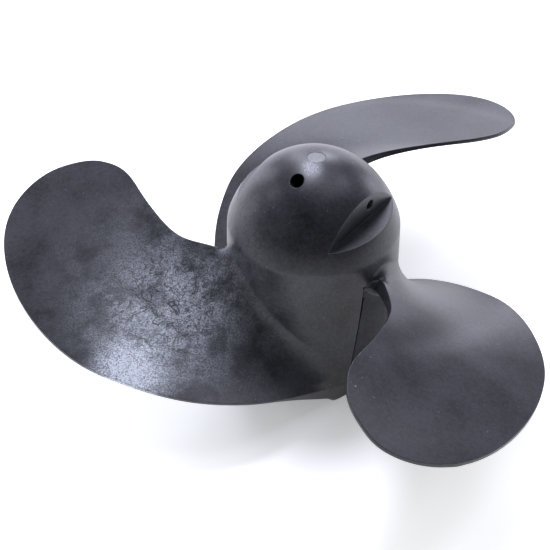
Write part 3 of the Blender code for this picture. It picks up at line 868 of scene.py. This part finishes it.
# %% Camera
CAMERA_ELEVATION = math.radians(42.70)
CAMERA_ROLL = math.radians(-0.98)
CAMERA_DISTANCE = 652.0
AIM_LEFT = 11.53
AIM_DOWN = 16.52
FOCAL_PIXELS = 2192.6
FRAME_PIXELS = 550
SENSOR_WIDTH = 36.0
CLIP_START = 0.01
level_right = Vector((1.0, 0.0, 0.0))
level_up = Vector((0.0, math.sin(CAMERA_ELEVATION), math.cos(CAMERA_ELEVATION)))
backwards = Vector((0.0, -math.cos(CAMERA_ELEVATION), math.sin(CAMERA_ELEVATION)))
right = level_right * math.cos(CAMERA_ROLL) - level_up * math.sin(CAMERA_ROLL)
up = level_right * math.sin(CAMERA_ROLL) + level_up * math.cos(CAMERA_ROLL)
place = backwards * CAMERA_DISTANCE - right * AIM_LEFT - up * AIM_DOWN
place.z -= SHAFT_BORE_END
camera_data = bpy.data.cameras.new("camera")
camera_data.sensor_width = SENSOR_WIDTH
camera_data.lens = FOCAL_PIXELS * SENSOR_WIDTH / FRAME_PIXELS
camera_data.clip_start = CLIP_START
camera = bpy.data.objects.new("camera", camera_data)
turned = Matrix((right, up, backwards)).transposed().to_4x4()
camera.matrix_world = Matrix.Translation(place * MM) @ turned
bpy.context.scene.collection.objects.link(camera)
bpy.context.scene.camera = camera
print("camera at", [round(value, 3) for value in camera.location], "lens", round(camera_data.lens, 1))

# %% [markdown]
# The propeller stands on a sheet of white paper that reaches past the picture. The paper glows, as on
# a light table, which lifts the soft shadows towards the white of the photograph. Close to the hub
# the glow is masked, as a product photographer would with a black card under the part, or it would
# light the hub's wall from below.

# %% Floor
FLOOR_HALF_SIZE = 12000.0
MASKED_RADIUS = 50.0
GLOW_RADIUS = 108.0
GLOW_STRENGTH = 0.7
GLOW_MASKED = (0.2, 0.2, 0.2, 1.0)
GLOW_FULL = (1.0, 1.0, 1.0, 1.0)
PAPER_COLOUR = (0.92, 0.92, 0.92, 1.0)
PAPER_ROUGHNESS = 0.8
floor_bm = bmesh.new()
bmesh.ops.create_grid(floor_bm, x_segments=1, y_segments=1, size=FLOOR_HALF_SIZE)
bmesh.ops.translate(floor_bm, vec=(0.0, 0.0, HUB_FORE), verts=floor_bm.verts)
floor = piece_from(floor_bm, "floor")
paper = Shade("white paper")
glow = paper.ramp(paper.vector("LENGTH", {0: paper.place}, "Value"), MASKED_RADIUS, GLOW_RADIUS)
paper.set(
    base_color=PAPER_COLOUR, roughness=PAPER_ROUGHNESS,
    emission_color=paper.blend(glow, GLOW_MASKED, GLOW_FULL), emission_strength=GLOW_STRENGTH,
)
floor.data.materials.append(paper.material)
print("floor at", round((HUB_FORE - SHAFT_BORE_END) * MM, 4), "m")

# %% [markdown]
# The light in the photograph comes from above and behind: the blades shine where they tilt away from
# the viewer, and the hub's near wall stays dark. The strongest lamp hangs high at the back, five climb
# down the back wall below it, a row of six lies low for the bright rim round the dome, and four weak
# ones soften the sides. All are cool white discs 0.35 m wide, 1.2 m from the propeller.

# %% Lights
LAMP_DISTANCE = 1.2
LAMP_SIZE = 0.35
LAMP_COLOUR = (0.93, 0.95, 1.12)
SKY_COLOUR = (1.0, 1.0, 1.0, 1.0)
SKY_STRENGTH = 0.08
# Name, azimuth and elevation in degrees, power in watts
LAMPS = (
    ("back_top", 100.0, 65.0, 6.6),
    ("back_high", 97.0, 52.0, 2.2),
    ("back_middle", 100.0, 37.0, 2.7),
    ("back_low_right", 80.0, 22.0, 3.4),
    ("back_low", 105.0, 22.0, 1.4),
    ("back_low_left", 135.0, 22.0, 0.9),
    ("row_1", 10.0, 7.0, 0.6),
    ("row_2", 40.0, 7.0, 1.8),
    ("row_3", 70.0, 7.0, 0.7),
    ("row_4", 100.0, 7.0, 0.7),
    ("row_5", 130.0, 7.0, 1.1),
    ("row_6", 160.0, 7.0, 1.0),
    ("left", 165.0, 35.0, 1.2),
    ("left_top", 160.0, 80.0, 0.6),
    ("right", 30.0, 50.0, 1.5),
    ("right_top", 0.0, 70.0, 0.9),
)


def softbox(name, azimuth, elevation, power):
    level = math.cos(math.radians(elevation))
    way = polar(level, azimuth, math.sin(math.radians(elevation)))
    data = bpy.data.lights.new(name, "AREA")
    data.shape = "DISK"
    data.size = LAMP_SIZE
    data.energy = power
    data.color = LAMP_COLOUR
    lamp = bpy.data.objects.new(name, data)
    lamp.location = way * LAMP_DISTANCE
    lamp.rotation_euler = way.to_track_quat("Z", "Y").to_euler()
    bpy.context.scene.collection.objects.link(lamp)
    return lamp


lamps = [softbox(*lamp) for lamp in LAMPS]
world = bpy.data.worlds.new("studio")
world.use_nodes = True
background = world.node_tree.nodes["Background"]
background.inputs["Color"].default_value = SKY_COLOUR
background.inputs["Strength"].default_value = SKY_STRENGTH
bpy.context.scene.world = world
bpy.context.scene.view_settings.view_transform = "Standard"
print("lamps:", len(lamps), "with", round(sum(lamp[3] for lamp in LAMPS), 1), "W in all")
